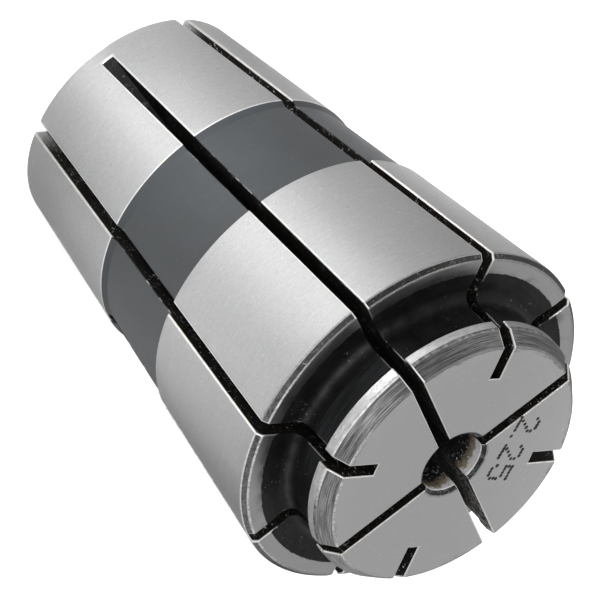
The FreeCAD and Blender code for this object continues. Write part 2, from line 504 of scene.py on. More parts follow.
def breakEdges(piece):
    # Rounds the slots' edges and the turned corners. The bevel takes its width from the weights.
    startEditing(piece)
    mesh = bmesh.from_edit_mesh(piece.data)
    weight = mesh.edges.layers.float.new("bevel_weight_edge")
    for edge in mesh.edges:
        edge[weight] = edgeShare(edge)
    bmesh.update_edit_mesh(piece.data)
    stopEditing()
    applyModifier(piece, "BEVEL", limit_method="WEIGHT", width=edgeBreaks["widest"],
                  segments=edgeBreaks["segments"], use_clamp_overlap=False,
                  material=zoneNames.index("brightEdge"), miter_outer="MITER_SHARP")


def slotGap(spot):
    # Distance from the nearest slot's middle plane.
    pitch = 180 / collet["slotsPerEnd"]
    angle = math.degrees(math.atan2(spot.y, spot.x))
    off = (angle + pitch / 2) % pitch - pitch / 2
    return abs(math.hypot(spot.x, spot.y) * math.sin(math.radians(off)))


def edgeZone(spot):
    # The finish of a broken edge at this place.
    c = collet
    radius, height = math.hypot(spot.x, spot.y), spot.z
    near = 0.12
    if radius < c["boreRadius"] + 0.3 and height > c["clampFoot"]:
        return "boreWall" if radius < c["boreRadius"] + c["boreChamfer"] / 2 else "boreLead"
    if slotGap(spot) < c["slotWidth"] / 2 + edgeBreaks["widest"]:
        if c["reliefBack"] + near < height < c["reliefFront"]:
            return "darkEdge"
        between = c["ringHeight"] - 0.5 < height < c["noseBack"] + 0.02
        inGroove = between and radius < c["mouthRadius"] - 0.03
        return "darkEdge" if inGroove else "brightEdge"
    if radius > c["headRadius"] - c["ringChamfer"] / 2 and height > c["edgeHeight"] - near:
        return "outerCorner"
    if radius > c["mouthRadius"] + near and height > c["edgeHeight"]:
        return "softCorner"
    if radius > c["noseRadius"] + near and height > c["edgeHeight"]:
        return "ringFace"
    if height > c["length"] - near:
        return "softCorner"
    if abs(height - c["reliefBack"]) < near:
        return "brightEdge"
    if height > c["noseBack"] - near:
        return "highlitCorner" if height > c["coneHeight"] - near else "noseRim"
    return "groundBand"


def paintEdges(piece):
    bright = zoneNames.index("brightEdge")
    for face in piece.data.polygons:
        if face.material_index == bright:
            face.material_index = zoneNames.index(edgeZone(face.center))


digitRows = {
    "2": (".###.", "#...#", "....#", "...#.", "..#..", ".#...", "#####"),
    "5": ("#####", "#....", "####.", "....#", "....#", "#...#", ".###."),
    ".": (".....", ".....", ".....", ".....", ".....", ".....", "..#.."),
}

boreMark = {
    "digits": ("2", ".", "2", "5"),
    "along": (0.0, 0.5, 1.12, 1.93),      # places of the digits along the line
    "start": (-0.43, -2.50),              # foot of the first digit
    "bearing": 128.0,                     # direction of the line on the face, in degrees
    "width": 0.50,
    "height": 0.88,
    "dotRadius": 0.088,
    "lift": 0.030,                        # centre of a dot's ball above the face
    "jitter": 0.008,
}

# Small nicks: the middle of the ball that leaves each one, and its radius.
brightNicks = [((-0.27, 2.00, 18.72), 0.060), ((3.42, 5.58, 16.18), 0.055)]
blackNicks = [((2.87, 5.02, 16.37), 0.080)]


def ballPunch(name, places, zone):
    # One mesh of separate balls, given as (place, radius), to cut with.
    punch = None
    deselectAll()
    for place, radius in places:
        bpy.ops.mesh.primitive_uv_sphere_add(
            segments=10, ring_count=7, radius=radius, location=place)
        if punch is None:
            punch = bpy.context.object
            punch.name = name
            startEditing(punch)
    stopEditing()
    for zoneName in zoneNames:
        punch.data.materials.append(bpy.data.materials[zoneName])
    for face in punch.data.polygons:
        face.material_index = zoneNames.index(zone)
    return punch


def digitDots():
    # The dots of the number, in two sets in which no dot touches another.
    mark = boreMark
    chance = random.Random(5)
    bearing = math.radians(mark["bearing"])
    right = Vector((math.cos(bearing), math.sin(bearing), 0))
    up = Vector((-right.y, right.x, 0))
    start = Vector((*mark["start"], collet["length"] + mark["lift"]))
    sets = ([], [])
    for digit, along in zip(mark["digits"], mark["along"]):
        rows = digitRows[digit]
        for rowIndex, row in enumerate(rows):
            for columnIndex, spot in enumerate(row):
                if spot != "#":
                    continue
                across = along + mark["width"] * (columnIndex / (len(row) - 1) - 0.5)
                rise = mark["height"] * (1 - rowIndex / (len(rows) - 1))
                across += chance.uniform(-1, 1) * mark["jitter"]
                rise += chance.uniform(-1, 1) * mark["jitter"]
                size = mark["dotRadius"] * chance.uniform(0.86, 1.0)
                sets[(rowIndex + columnIndex) % 2].append((start + right * across + up * rise, size))
    return sets


def punchInto(body, places, zone):
    punch = ballPunch("punch", places, zone)
    applyModifier(body, "BOOLEAN", operation="DIFFERENCE", object=punch, solver="MANIFOLD",
                  material_mode="INDEX")
    bpy.data.objects.remove(punch)


# Materials. Each reads Object coordinates, brought to millimetres and turned into the angle round
# the collet's axis, the distance from it and the height along it.
def feed(tree, socket, source):
    # The source is another node's output or a plain value, which for a colour can be a grey level.
    if isinstance(source, bpy.types.NodeSocket):
        tree.links.new(source, socket)
    elif socket.type == "RGBA" and isinstance(source, float):
        socket.default_value = (source, source, source, 1.0)
    else:
        socket.default_value = source


def addNode(tree, kind, sockets=None, **settings):
    node = tree.nodes.new("ShaderNode" + kind)
    for name, setting in settings.items():
        setattr(node, name, setting)
    for name, source in (sockets or {}).items():
        feed(tree, node.inputs[name], source)
    return node


def calculate(tree, operation, first, second=0.0, third=0.0):
    node = addNode(tree, "Math", {0: first, 1: second, 2: third}, operation=operation)
    return node.outputs[0]


def product(tree, first, second):
    return calculate(tree, "MULTIPLY", first, second)


def weighted(tree, first, firstShare, second, secondShare):
    return calculate(tree, "ADD", product(tree, first, firstShare), product(tree, second, secondShare))


def axisCoordinates(tree):
    texture = addNode(tree, "TexCoord")
    scaled = addNode(tree, "VectorMath", {0: texture.outputs["Object"], "Scale": 1 / mm},
                     operation="SCALE")
    split = addNode(tree, "SeparateXYZ", {0: scaled.outputs[0]})
    across, along, height = split.outputs
    squares = weighted(tree, across, across, along, along)
    return {
        "tree": tree,
        "place": scaled.outputs[0],
        "radius": calculate(tree, "SQRT", squares),
        "angle": calculate(tree, "ARCTAN2", along, across),
        "height": height,
    }


def turnedNoise(axis, length, width, detail=3.0, roughness=0.55, offset=0.0):
    # Noise drawn out around the axis: marks of about this length and width in millimetres.
    tree = axis["tree"]
    usualRadius = 5.5
    around = calculate(tree, "MULTIPLY_ADD", axis["angle"], usualRadius / length, offset)
    across = product(tree, axis["height"], 1 / width)
    outward = product(tree, axis["radius"], 1 / width)
    vector = addNode(tree, "CombineXYZ", {0: around, 1: outward, 2: across})
    noise = addNode(tree, "TexNoise", {
        "Vector": vector.outputs[0], "Scale": 1.0, "Detail": detail, "Roughness": roughness})
    return noise.outputs["Fac"]


def cloudNoise(axis, size, detail=3.0, roughness=0.5, shift=(0.0, 0.0, 0.0)):
    tree = axis["tree"]
    moved = addNode(tree, "VectorMath", {0: axis["place"], 1: shift}, operation="ADD")
    noise = addNode(tree, "TexNoise", {
        "Vector": moved.outputs[0], "Scale": 1 / size, "Detail": detail, "Roughness": roughness})
    return noise.outputs["Fac"]


def fleckMask(axis, size, limit, shift=(0.0, 0.0, 0.0)):
    # Small ragged flecks where a rough noise climbs over the limit.
    rough = cloudNoise(axis, size, 3.0, 0.75, shift)
    return spread(axis["tree"], rough, limit, limit + 0.03)


def hairMask(axis, size, width, shift=(0.0, 0.0, 0.0)):
    # Thin curling scratches: the contour lines of a noise, kept in patches.
    tree = axis["tree"]
    wander = calculate(tree, "SUBTRACT", cloudNoise(axis, size, 2.0, 0.5, shift), 0.5)
    line = spread(tree, calculate(tree, "ABSOLUTE", wander), width, width * 0.3)
    patches = spread(tree, cloudNoise(axis, size * 2.2, 2.0, 0.5, shift), 0.50, 0.58)
    return product(tree, line, patches)


# Where a colour changes round the collet, mostly painted light and shade: bearing, half width and
# softness in degrees.
sides = {
    "reliefShade": (34, 17, 13),
    "chamferFrontShade": (-6, 30, 12),
    "chamferLitSide": (66, 34, 8),
    "ringFrontShade": (8, 42, 9),
    "cornerFrontShade": (2, 18, 12),
    "cornerHighlight": (66, 38, 10),
    "outerHighlight": (72, 26, 5),
    "noseCornerHighlight": (31, 30, 6),
    "neckSheen": (26, 30, 8),
    "rootSheenLine": (40, 48, 8),
    "rimShade": (-88, 34, 20),
    "conePale": (74, 38, 16),
    "conePalest": (114, 16, 10),
    "faceSmear": (190, 88, 14),
    "boreShadeSide": (112, 42, 16),
    "tornWall": (180, 20, 2),
}


def sideShare(axis, side):
    # One towards the side's bearing, none beyond half + soft degrees from it.
    tree = axis["tree"]
    bearing, half, soft = sides[side]
    turned = calculate(tree, "SUBTRACT", axis["angle"], math.radians(bearing))
    low, high = (math.cos(math.radians(reach)) for reach in (half + soft, half - soft))
    return spread(tree, calculate(tree, "COSINE", turned), low, high)


# A noise keeps near a half, so it is read over one of these spans.
narrowSpan = (0.36, 0.64)
wideSpan = (0.30, 0.70)


def spread(tree, source, low, high, fromLow=0.0, fromHigh=1.0):
    # Runs from fromLow to fromHigh while the source goes from low to high.
    node = addNode(tree, "MapRange", {
        "Value": source, "From Min": low, "From Max": high, "To Min": fromLow, "To Max": fromHigh},
        clamp=True)
    return node.outputs[0]


def grey(level, tint):
    return (level * tint[0], level * tint[1], level * tint[2], 1.0)


def blendColours(tree, share, first, second):
    node = addNode(tree, "Mix", {0: share, 6: first, 7: second}, data_type="RGBA")
    return node.outputs[2]


def shades(tree, source, low, high, first, second):
    # From the first colour to the second while the source goes from low to high.
    return blendColours(tree, spread(tree, source, low, high), first, second)


def startFinish(name, metallic, anisotropic=0.0, specular=0.5):
    # The turned and ground lines run round the axis, so highlights are drawn out across them.
    material = bpy.data.materials[name]
    material.use_nodes = True
    tree = material.node_tree
    tree.nodes.clear()
    output = addNode(tree, "OutputMaterial")
    shader = addNode(tree, "BsdfPrincipled", {
        "Metallic": metallic, "Anisotropic": anisotropic, "Anisotropic Rotation": 0.25,
        "Specular IOR Level": specular})
    tree.links.new(shader.outputs[0], output.inputs["Surface"])
    return tree, shader, axisCoordinates(tree)


def endFinish(tree, shader, colour, noise, rough, depth, relief=None, span=wideSpan):
    # The roughness runs from the first to the second of rough while the noise crosses the span. The
    # relief, depth millimetres high, follows the same noise or one of its own.
    roughness = spread(tree, noise, *span, *rough)
    height = relief or noise
    bump = addNode(tree, "Bump", {"Height": height, "Distance": depth * mm, "Strength": 1.0})
    feed(tree, shader.inputs["Base Color"], colour)
    feed(tree, shader.inputs["Roughness"], roughness)
    feed(tree, shader.inputs["Normal"], bump.outputs[0])


# Grey levels from black at 0 to white at 1. groundRough is the ground bands' range of roughness,
# and groundDrawn how far their lines draw out a highlight.
steelLook = {
    "groundLight": 0.55,
    "groundDark": 0.43,
    "groundRough": (0.30, 0.41),
    "groundDrawn": 0.85,
    "relief": 0.068,
    "chamfer": 0.048,
    "ring": 0.375,
    "corner": 0.32,
    "groove": 0.010,
    "rim": 0.88,
    "cone": 0.155,
    "face": 0.492,
    "slot": 0.011,
    "edge": 0.84,
    "tailLight": 0.52,
    "tailDark": 0.38,
    "pit": 0.30,
    "scuff": 0.80,
    "soot": 0.02,
    "boreDeep": 0.018,
    "glint": 0.75,
}
blueTint = (0.95, 0.99, 1.04)
slateTint = (0.90, 0.985, 1.07)
warmTint = (1.05, 0.99, 0.91)
brownTint = (1.0, 0.82, 0.66)
strawTint = (1.0, 0.84, 0.60)


def groundSteel():
    look = steelLook
    tree, shader, axis = startFinish("groundBand", 1.0, look["groundDrawn"])
    grain = turnedNoise(axis, 0.20, 0.035, 2.0, 0.6)
    scratches = turnedNoise(axis, 0.9, 0.03, 3.0, 0.65, 7.0)
    clouds = cloudNoise(axis, 0.16, 3.0, 0.6)
    sand = cloudNoise(axis, 0.055, 2.0, 0.6, (3.0, 2.0, 1.0))
    lines = weighted(tree, grain, 0.34, scratches, 0.26)
    marks = calculate(tree, "MULTIPLY_ADD", sand, 0.4, lines)
    base = shades(tree, marks, *narrowSpan, look["groundDark"], look["groundLight"])
    pits = fleckMask(axis, 0.22, 0.66, (1.0, 4.0, 2.0))
    scuffs = fleckMask(axis, 0.12, 0.67, (8.0, 2.0, 5.0))
    pitted = blendColours(tree, product(tree, pits, 0.4), base, grey(look["pit"], warmTint))
    colour = blendColours(tree, product(tree, scuffs, 0.6), pitted, look["scuff"])
    unevenness = weighted(tree, marks, 0.5, clouds, 0.5)
    endFinish(tree, shader, colour, unevenness, look["groundRough"], 0.0022, marks, narrowSpan)


def reliefSteel():
    tree, shader, axis = startFinish("reliefBand", 0.25)
    fine = turnedNoise(axis, 1.4, 0.03, 4.0, 0.6, 3.0)
    clouds = cloudNoise(axis, 1.2, 3.0, 0.5, (1.0, 2.0, 5.0))
    tone = weighted(tree, fine, 0.6, clouds, 0.4)
    level = steelLook["relief"]
    base = shades(tree, tone, *narrowSpan,
                  grey(level * 0.84, slateTint), grey(level * 1.14, slateTint))
    scuffs = fleckMask(axis, 0.14, 0.665, (3.0, 1.0, 7.0))
    # Painted shade: the relief is darkened towards one side of the collet.
    darker = product(tree, sideShare(axis, "reliefShade"), 0.35)
    shaded = blendColours(tree, darker, base, grey(level * 0.55, slateTint))
    marked = blendColours(tree, product(tree, scuffs, 0.16), shaded, steelLook["pit"])
    # Painted light: the back slope is made lighter to even out its shade.
    slopeTop = collet["reliefBack"] + collet["reliefRun"]
    slope = spread(tree, axis["height"], slopeTop + 0.04, slopeTop - 0.04)
    sloped = grey(level * 1.1, slateTint)
    colour = blendColours(tree, product(tree, slope, 0.7), marked, sloped)
    endFinish(tree, shader, colour, tone, (0.36, 0.5), 0.0014, fine)


def chamferSteel():
    tree, shader, axis = startFinish("ringChamfer", 1.0, 0.2)
    fine = turnedNoise(axis, 1.2, 0.03, 4.0, 0.6, 5.0)
    mottle = cloudNoise(axis, 0.12, 4.0, 0.65, (5.0, 1.0, 3.0))
    stain = cloudNoise(axis, 1.6, 2.0, 0.5, (2.0, 2.0, 9.0))
    level = steelLook["chamfer"]
    tone = weighted(tree, fine, 0.5, mottle, 0.5)
    plain = shades(tree, tone, *narrowSpan, level * 0.6, level * 1.5)
    brown = shades(tree, tone, *narrowSpan,
                   grey(level * 0.5, brownTint), grey(level * 1.3, warmTint))
    stained = shades(tree, stain, 0.45, 0.6, plain, brown)
    # Painted shade at the front of the chamfer and painted light towards one side.
    front = sideShare(axis, "chamferFrontShade")
    dimmedFront = blendColours(tree, product(tree, front, 0.5), stained, level * 0.9)
    pale = shades(tree, mottle, 0.38, 0.62, level * 1.9, level * 4.6)
    base = blendColours(tree, sideShare(axis, "chamferLitSide"), dimmedFront, pale)
    flecks = fleckMask(axis, 0.10, 0.61, (1.0, 7.0, 4.0))
    colour = blendColours(tree, product(tree, flecks, 0.5), base, steelLook["pit"])
    endFinish(tree, shader, colour, tone, (0.30, 0.46), 0.003)


def ringSteel():
    tree, shader, axis = startFinish("ringFace", 1.0)
    fine = turnedNoise(axis, 1.0, 0.04, 4.0, 0.6, 11.0)
    stains = cloudNoise(axis, 1.1, 4.0, 0.6, (3.0, 7.0, 0.0))
    ragged = cloudNoise(axis, 0.25, 4.0, 0.7, (6.0, 7.0, 4.0))
    level = steelLook["ring"]
    clean = shades(tree, fine, 0.35, 0.65, level * 0.95, level * 1.05)
    # Painted shade: the ring face is darkened towards the front.
    frontShade = product(tree, sideShare(axis, "ringFrontShade"), 0.22)
    base = blendColours(tree, frontShade, clean, level * 0.16)
    # Stains, made heavier towards the groove's mouth as painted shade.
    mouth = collet["mouthRadius"]
    inner = spread(tree, axis["radius"], mouth + 0.3, mouth)
    towardMouth = calculate(tree, "MULTIPLY_ADD", inner, 0.5, 0.1)
    stainAndShade = product(tree, spread(tree, stains, 0.5, 0.64), towardMouth)
    stained = blendColours(tree, stainAndShade, base, grey(0.07, warmTint))
    # The groove's black eats a little way over the mouth's edge.
    eaten = calculate(tree, "MULTIPLY_ADD", spread(tree, ragged, 0.50, 0.62), 0.03, mouth)
    blackened = calculate(tree, "LESS_THAN", axis["radius"], eaten)
    colour = blendColours(tree, product(tree, blackened, 0.85), stained, steelLook["soot"])
    endFinish(tree, shader, colour, fine, (0.28, 0.36), 0.001)


def cornerSteel():
    # The corner between the ring's face and its chamfer, and the edge of the nose face.
    tree, shader, axis = startFinish("softCorner", 1.0)
    fine = cloudNoise(axis, 0.09, 3.0, 0.6, (4.0, 4.0, 1.0))
    level = steelLook["corner"]
    plain = shades(tree, fine, 0.35, 0.65, level * 0.75, level * 1.2)
    # Painted shade at the front and a painted highlight towards one side.
    front = sideShare(axis, "cornerFrontShade")
    dim = blendColours(tree, front, plain, level * 0.7)
    wornAndHighlit = shades(tree, fine, 0.38, 0.6, 0.42, 0.75)
    colour = blendColours(tree, sideShare(axis, "cornerHighlight"), dim, wornAndHighlit)
    endFinish(tree, shader, colour, fine, (0.54, 0.68), 0.002)


def sideLitCorner(name, metallic, size, shift, side, dim, bright, rough, depth):
    # A corner with a painted highlight on one side.
    tree, shader, axis = startFinish(name, metallic)
    fine = cloudNoise(axis, size, 4.0, 0.65, shift)
    plain = shades(tree, fine, 0.4, 0.6, *dim)
    rubbedAndSheen = shades(tree, fine, 0.4, 0.56, *bright)
    colour = blendColours(tree, sideShare(axis, side), plain, rubbedAndSheen)
    endFinish(tree, shader, colour, fine, rough, depth)


def outerCornerSteel():
    # The ring's outer edge is ground like the band beside it, with a painted highlight on one side.
    sideLitCorner("outerCorner", 1.0, 0.12, (1.0, 2.0, 7.0), "outerHighlight",
                 (0.34, 0.46), (0.8, 1.0), (0.34, 0.46), 0.003)


def highlitCornerSteel():
    # The corner between the nose's rim and its cone is ragged, with a painted highlight on one side
    # and dimmer behind.
    sideLitCorner("highlitCorner", 0.9, 0.14, (7.0, 2.0, 1.0), "noseCornerHighlight",
                 (0.16, 0.42), (0.7, 1.0), (0.30, 0.44), 0.004)


def grooveSteel():
    tree, shader, axis = startFinish("grooveBlack", 0.3, 0.0, 0.16)
    fine = turnedNoise(axis, 1.6, 0.05, 4.0, 0.6, 2.0)
    stains = cloudNoise(axis, 0.7, 5.0, 0.65, (2.0, 6.0, 1.0))
    level = steelLook["groove"]
    base = shades(tree, stains, 0.35, 0.7, grey(level * 0.5, blueTint), level * 1.7)
    # Painted reflection: the neck is paler towards one side.
    neck = spread(tree, axis["height"], 16.75, 17.0)
    paler = product(tree, neck, sideShare(axis, "neckSheen"))
    rubbedAndSheen = shades(tree, fine, 0.4, 0.6,
                    grey(level * 1.6, blueTint), grey(level * 4.2, blueTint))
    neckSheened = blendColours(tree, paler, base, rubbedAndSheen)
    # A painted reflection: a paler line along the root of the neck, towards one side.
    rootRadius = collet["neckRadius"] + 0.13
    fromRoot = calculate(tree, "SUBTRACT", axis["radius"], rootRadius)
    rootSheenLine = spread(tree, calculate(tree, "ABSOLUTE", fromRoot), 0.10, 0.02)
    root = product(tree, rootSheenLine, sideShare(axis, "rootSheenLine"))
    rootSheen = product(tree, root, spread(tree, stains, 0.36, 0.56, 0.2, 1.0))
    lined = blendColours(tree, rootSheen, neckSheened, level * 5.0)
    flecks = fleckMask(axis, 0.13, 0.64, (5.0, 0.0, 3.0))
    dusty = spread(tree, cloudNoise(axis, 1.1, 2.0, 0.5, (7.0, 3.0, 2.0)), 0.5, 0.6)
    wornAndHighlit = product(tree, flecks, calculate(tree, "MULTIPLY_ADD", dusty, 0.6, 0.05))
    colour = blendColours(tree, wornAndHighlit, lined, grey(0.24, warmTint))
    endFinish(tree, shader, colour, fine, (0.36, 0.58), 0.004)


def rimSteel():
    tree, shader, axis = startFinish("noseRim", 1.0, 0.3)
    fine = turnedNoise(axis, 0.8, 0.03, 4.0, 0.6, 13.0)
    clouds = cloudNoise(axis, 0.3, 3.0, 0.6, (2.0, 5.0, 8.0))
    level = steelLook["rim"]
    tone = weighted(tree, fine, 0.5, clouds, 0.5)
    plain = shades(tree, tone, *narrowSpan, level * 0.82, level * 1.1)
    # Painted shade: the rim is darker towards one side.
    side = product(tree, sideShare(axis, "rimShade"), 0.7)
    colour = blendColours(tree, side, plain, level * 0.3)
    endFinish(tree, shader, colour, fine, (0.26, 0.38), 0.002)


def coneColour(axis):
    tree = axis["tree"]
    fine = turnedNoise(axis, 1.3, 0.03, 3.0, 0.6, 17.0)
    scratches = turnedNoise(axis, 0.22, 0.04, 3.0, 0.7, 41.0)
    tone = weighted(tree, fine, 0.8, scratches, 0.2)
    level = steelLook["cone"]
    # Painted light: the cone is paler towards one side and palest in a narrower band.
    plain = shades(tree, tone, 0.40, 0.60, level * 0.42, level * 1.4)
    pale = shades(tree, tone, 0.40, 0.60, level * 0.7, level * 2.5)
    lit = blendColours(tree, sideShare(axis, "conePale"), plain, pale)
    palest = shades(tree, tone, 0.40, 0.58, level * 1.7, level * 4.0)
    return blendColours(tree, sideShare(axis, "conePalest"), lit, palest), tone


def coneSteel():
    tree, shader, axis = startFinish("noseCone", 1.0, 0.2)
    colour, tone = coneColour(axis)
    clouds = cloudNoise(axis, 0.4, 3.0, 0.6)
    endFinish(tree, shader, colour, clouds, (0.26, 0.40), 0.004, tone)


def faceSteel():
    tree, shader, axis = startFinish("noseFace", 1.0)
    grain = cloudNoise(axis, 0.05, 3.0, 0.6)
    rings = turnedNoise(axis, 1.2, 0.05, 3.0, 0.6, 19.0)
    level = steelLook["face"]
    tone = weighted(tree, grain, 0.6, rings, 0.4)
    base = shades(tree, tone, *narrowSpan, level * 0.94, level * 1.06)
    scuffs = fleckMask(axis, 0.24, 0.69, (4.0, 6.0, 0.0))
    hairs = hairMask(axis, 1.3, 0.004, (2.0, 7.0, 0.0))
    scuffed = blendColours(tree, product(tree, scuffs, 0.7), base, 0.75)
    marked = blendColours(tree, product(tree, hairs, 0.16), scuffed, 0.7)
    # The cone's turned lines run out raggedly onto the face.
    ragged = turnedNoise(axis, 0.5, 0.05, 3.0, 0.75, 53.0)
    patches = cloudNoise(axis, 1.5, 2.0, 0.5, (1.0, 0.0, 0.0))
    furthest = spread(tree, patches, 0.44, 0.6, 0.02, 0.28)    # in millimetres
    reach = product(tree, spread(tree, ragged, 0.42, 0.66), furthest)
    linesEnd = calculate(tree, "SUBTRACT", collet["faceRadius"], reach)
    runOut = calculate(tree, "GREATER_THAN", axis["radius"], linesEnd)
    # The run-out takes the cone's colour, its painted light included.
    streaked = coneColour(axis)[0]
    wornAndHighlit = blendColours(tree, product(tree, runOut, 0.6), marked, streaked)
    # The bore's dark lead-in is smeared over its edge.
    smearNoise = cloudNoise(axis, 0.12, 4.0, 0.7, (9.0, 1.0, 1.0))
    smearWidth = 0.13
    leadRadius = collet["boreRadius"] + collet["boreChamfer"]
    nearBore = spread(tree, axis["radius"], leadRadius + smearWidth, leadRadius)
    smeared = product(tree, nearBore, sideShare(axis, "faceSmear"))
    smear = product(tree, smeared, spread(tree, smearNoise, 0.36, 0.6))
    colour = blendColours(tree, smear, wornAndHighlit, 0.03)
    endFinish(tree, shader, colour, grain, (0.42, 0.56), 0.0012, tone)


def leadSteel():
    tree, shader, axis = startFinish("boreLead", 0.3)
    mottle = cloudNoise(axis, 0.15, 4.0, 0.75)
    colour = shades(tree, mottle, 0.47, 0.58, 0.005, grey(0.12, blueTint))
    endFinish(tree, shader, colour, mottle, (0.34, 0.55), 0.006)


def boreSteel():
    # Painted shade by depth: bright at the mouth, then straw and brown, and black with a few painted
    # glints further in.
    tree, shader, axis = startFinish("boreWall", 0.1, 0.0, 1.0)
    fine = turnedNoise(axis, 0.6, 0.05, 4.0, 0.65, 23.0)
    stains = cloudNoise(axis, 0.22, 4.0, 0.65, (4.0, 1.0, 0.0))
    depth = calculate(tree, "SUBTRACT", collet["length"], axis["height"])
    # The painted shade comes nearer the mouth towards one side.
    narrower = calculate(tree, "MULTIPLY_ADD", sideShare(axis, "boreShadeSide"), 0.2, depth)
    ragged = calculate(tree, "MULTIPLY_ADD", spread(tree, stains, 0.3, 0.7), 0.34, narrower)
    bright = shades(tree, fine, 0.32, 0.46, grey(0.9, warmTint), 1.0)
    brown = shades(tree, stains, 0.4, 0.6, grey(0.12, brownTint), grey(0.42, strawTint))
    outer = shades(tree, ragged, 0.54, 0.64, bright, brown)
    glints = fleckMask(axis, 0.11, 0.60, (3.0, 3.0, 3.0))
    nearMouth = spread(tree, depth, 1.25, 0.8, 0.0, 1.0)
    dark, light = steelLook["boreDeep"], steelLook["glint"]
    deep = blendColours(tree, product(tree, glints, nearMouth), dark, light)
    colour = shades(tree, ragged, 0.76, 0.96, outer, deep)
    endFinish(tree, shader, colour, fine, (0.16, 0.34), 0.003)


def slotSteel():
    # Sawn black walls with scratches and glints, paler where light comes in at the tail.
    tree, shader, axis = startFinish("slotWall", 0.0, 0.0, 0.14)
    sawn = cloudNoise(axis, 0.16, 5.0, 0.72, (2.0, 8.0, 3.0))
    level = steelLook["slot"]
    base = shades(tree, sawn, 0.4, 0.7, level * 0.4, grey(level * 2.4, brownTint))
    flecks = fleckMask(axis, 0.11, 0.62, (0.0, 5.0, 6.0))
    patches = spread(tree, cloudNoise(axis, 0.9, 2.0, 0.5, (4.0, 2.0, 6.0)), 0.46, 0.60)
    # Over zero in the slots from the nose and under it in those from the tail.
    slotWave = calculate(tree, "COSINE", product(tree, axis["angle"], collet["slotsPerEnd"]))
    inNoseSlot = spread(tree, slotWave, -0.2, 0.2)
    # Painted shade where the nose slots run out near the tail.
    runOut = product(tree, inNoseSlot, spread(tree, axis["height"], 4.4, 3.2))
    blacker = blendColours(tree, product(tree, runOut, 0.9), base, level * 0.12)
    hairs = product(tree, hairMask(axis, 0.7, 0.006, (6.0, 1.0, 2.0)), 0.25)
    marks = calculate(tree, "MAXIMUM", hairs, product(tree, flecks, patches))
    clear = calculate(tree, "MULTIPLY_ADD", runOut, -0.75, 0.95)
    kept = product(tree, marks, clear)
    scratched = blendColours(tree, kept, blacker, 0.9)
    # Behind the bore one slot's wall is torn near the nose face, and greyer further out.
    torn = spread(tree, cloudNoise(axis, 0.24, 5.0, 0.75, (1.0, 3.0, 8.0)), 0.50, 0.57)
    outward = spread(tree, axis["radius"], 1.9, 3.5, 0.14, 1.0)
    nearFace = spread(tree, axis["height"], 17.1, 17.8)
    behind = product(tree, nearFace, sideShare(axis, "tornWall"))
    greyed = product(tree, torn, product(tree, behind, outward))
    rubbedAndSheen = blendColours(tree, greyed, scratched, grey(0.5, warmTint))
    glints = product(tree, fleckMask(axis, 0.12, 0.56, (2.0, 7.0, 4.0)), behind)
    wornAndHighlit = blendColours(tree, glints, rubbedAndSheen, 0.95)
    fromTail = spread(tree, axis["height"], 1.3, 0.0)
    inTailSlot = spread(tree, slotWave, 0.2, -0.2)
    lit = product(tree, product(tree, fromTail, fromTail), inTailSlot)
    pale = product(tree, lit, spread(tree, sawn, 0.3, 0.6, 0.7, 1.0))
    colour = blendColours(tree, pale, wornAndHighlit, 0.6)
    endFinish(tree, shader, colour, sawn, (0.45, 0.7), 0.014)


def tailSteel():
    tree, shader, axis = startFinish("tailFace", 1.0)
    fine = turnedNoise(axis, 1.2, 0.04, 4.0, 0.6, 29.0)
    dark, light = steelLook["tailDark"], steelLook["tailLight"]
    colour = shades(tree, fine, 0.35, 0.65, dark, light)
    endFinish(tree, shader, colour, fine, (0.34, 0.5), 0.002)


def clearanceSteel():
    tree, shader, axis = startFinish("clearBore", 0.5, 0.0, 0.35)
    fine = turnedNoise(axis, 1.5, 0.06, 4.0, 0.6, 31.0)
    colour = shades(tree, fine, 0.35, 0.65, grey(0.04, blueTint), grey(0.08, warmTint))
    endFinish(tree, shader, colour, fine, (0.4, 0.6), 0.006)


def brightEdgeSteel():
    # A painted highlight: the broken edges are paler than the steel beside them.
    tree, shader, axis = startFinish("brightEdge", 1.0)
    scuffs = cloudNoise(axis, 0.3, 3.0, 0.6, (6.0, 3.0, 8.0))
    level = steelLook["edge"]
    colour = shades(tree, scuffs, 0.34, 0.56, grey(level * 0.86, warmTint), level)
    endFinish(tree, shader, colour, scuffs, (0.30, 0.40), 0.002)


def darkEdgeSteel():
    # The slots' edges in the groove and on the relief: black, worn through in a few places.
    tree, shader, axis = startFinish("darkEdge", 0.8)
    wear = cloudNoise(axis, 0.5, 4.0, 0.7, (2.0, 9.0, 1.0))
    neck = spread(tree, axis["height"], 16.95, 17.15)
    share = calculate(tree, "MAXIMUM", spread(tree, wear, 0.54, 0.64), neck)
    colour = blendColours(tree, share, 0.018, 0.55)
    endFinish(tree, shader, colour, wear, (0.34, 0.5), 0.003)


def dotSteel():
    tree, shader, axis = startFinish("dotMark", 0.3)
    grain = cloudNoise(axis, 0.05, 4.0, 0.7)
    colour = shades(tree, grain, 0.46, 0.66, grey(0.016, brownTint), grey(0.13, warmTint))
    endFinish(tree, shader, colour, grain, (0.55, 0.55), 0.008)


finishes = [
    groundSteel, reliefSteel, chamferSteel, ringSteel, cornerSteel, highlitCornerSteel,
    outerCornerSteel, grooveSteel, rimSteel, coneSteel, faceSteel, leadSteel, boreSteel,
    slotSteel, tailSteel, clearanceSteel, brightEdgeSteel, darkEdgeSteel, dotSteel,
]


